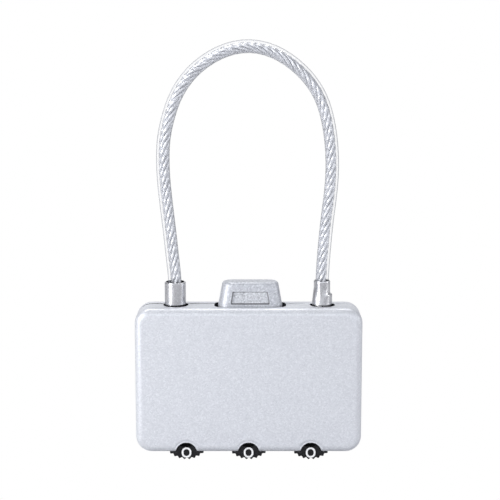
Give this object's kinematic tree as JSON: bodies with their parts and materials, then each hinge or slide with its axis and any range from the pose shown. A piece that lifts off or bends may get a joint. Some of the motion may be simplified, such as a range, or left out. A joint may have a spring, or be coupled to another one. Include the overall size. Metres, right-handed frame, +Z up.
{
  "type": "luggage combination padlock",
  "caption": "Suitcase-shaped combination padlock with front-facing toothed dials, a handle-shaped push button and a flexible wire-rope loop in a clear jacket.",
  "frame": {"origin": "on the ground under the middle of the case, at the lowest teeth of the dials", "axes": "+X to the lock's right seen from the front, +Y from the face with the dial windows to the back, +Z up along the cable loop"},
  "size_m": [0.0568, 0.011, 0.1048],
  "materials": {
    "case_paint": "satin silver paint with fine metallic flake",
    "ferrule_steel": "bright satin plating",
    "plain_steel": "plain zinc-plated steel",
    "spring_steel": "drawn spring steel",
    "cast_zinc": "raw die-cast zinc",
    "dial_plastic": "black moulded plastic with a low sheen",
    "digit_paint": "white filled digits",
    "cable_jacket": "clear smooth jacket",
    "wire_rope": "bright stranded wire"
  },
  "bodies": {
    "case": {"front_cover": "case_paint", "rear_cover": "case_paint", "case_screw_1": "plain_steel", "case_screw_2": "plain_steel", "case_screw_3": "plain_steel", "case_screw_4": "plain_steel", "dial_axle_1": "plain_steel", "dial_axle_2": "plain_steel", "dial_axle_3": "plain_steel", "detent_spring": "spring_steel", "latch_spring": "spring_steel", "return_spring_1": "spring_steel", "return_spring_2": "spring_steel", "reset_spring_1": "spring_steel", "reset_spring_2": "spring_steel", "fixed_ferrule": "ferrule_steel", "retaining_ring": "spring_steel", "cable": "cable_jacket"},
    "push_button": {"handle_button": "case_paint", "lock_slider": "cast_zinc", "slider_pin": "plain_steel"},
    "plug": {"plug_ferrule": "ferrule_steel"},
    "reset": {"reset_carriage": "spring_steel", "reset_button": "cast_zinc"},
    "dial_1": {"dial_1": "dial_plastic"},
    "cam_1": {"cam_1": "cast_zinc"},
    "dial_2": {"dial_2": "dial_plastic"},
    "cam_2": {"cam_2": "cast_zinc"},
    "dial_3": {"dial_3": "dial_plastic"},
    "cam_3": {"cam_3": "cast_zinc"}
  },
  "joints": [
    {"name": "dial_1_turn", "type": "hinge", "parent": "case", "child": "dial_1", "pos_m": [-0.0157, -0.0024, 0.00625], "axis": [0, 1, 0], "continuous": true, "deforming": ["detent_spring"]},
    {"name": "dial_2_turn", "type": "hinge", "parent": "case", "child": "dial_2", "pos_m": [0, -0.0024, 0.00625], "axis": [0, 1, 0], "continuous": true, "deforming": ["detent_spring"]},
    {"name": "dial_3_turn", "type": "hinge", "parent": "case", "child": "dial_3", "pos_m": [0.0157, -0.0024, 0.00625], "axis": [0, 1, 0], "continuous": true, "deforming": ["detent_spring"]},
    {"name": "button_press", "type": "slide", "parent": "case", "child": "push_button", "axis": [0, 0, 1], "range_m": [-0.0019, 0], "stiffness_N_per_m": 500, "springref_m": 0.003, "deforming": ["return_spring_1", "return_spring_2", "latch_spring"]},
    {"name": "plug_pull", "type": "slide", "parent": "case", "child": "plug", "axis": [0, 0, 1], "range_m": [0, 0.014], "deforming": ["cable", "latch_spring"]},
    {"name": "reset_press", "type": "slide", "parent": "case", "child": "reset", "axis": [0, -1, 0], "range_m": [0, 0.0016], "stiffness_N_per_m": 300, "springref_m": -0.003, "deforming": ["reset_spring_1", "reset_spring_2"]},
    {"name": "cam_1_turn", "type": "hinge", "parent": "reset", "child": "cam_1", "pos_m": [-0.0157, 0.0017, 0.00625], "axis": [0, 1, 0], "continuous": true},
    {"name": "cam_2_turn", "type": "hinge", "parent": "reset", "child": "cam_2", "pos_m": [0, 0.0017, 0.00625], "axis": [0, 1, 0], "continuous": true},
    {"name": "cam_3_turn", "type": "hinge", "parent": "reset", "child": "cam_3", "pos_m": [0.0157, 0.0017, 0.00625], "axis": [0, 1, 0], "continuous": true}
  ],
  "couplings": [
    {"joint": "cam_1_turn", "follows": "dial_1_turn", "ratio": 1},
    {"joint": "cam_2_turn", "follows": "dial_2_turn", "ratio": 1},
    {"joint": "cam_3_turn", "follows": "dial_3_turn", "ratio": 1}
  ]
}
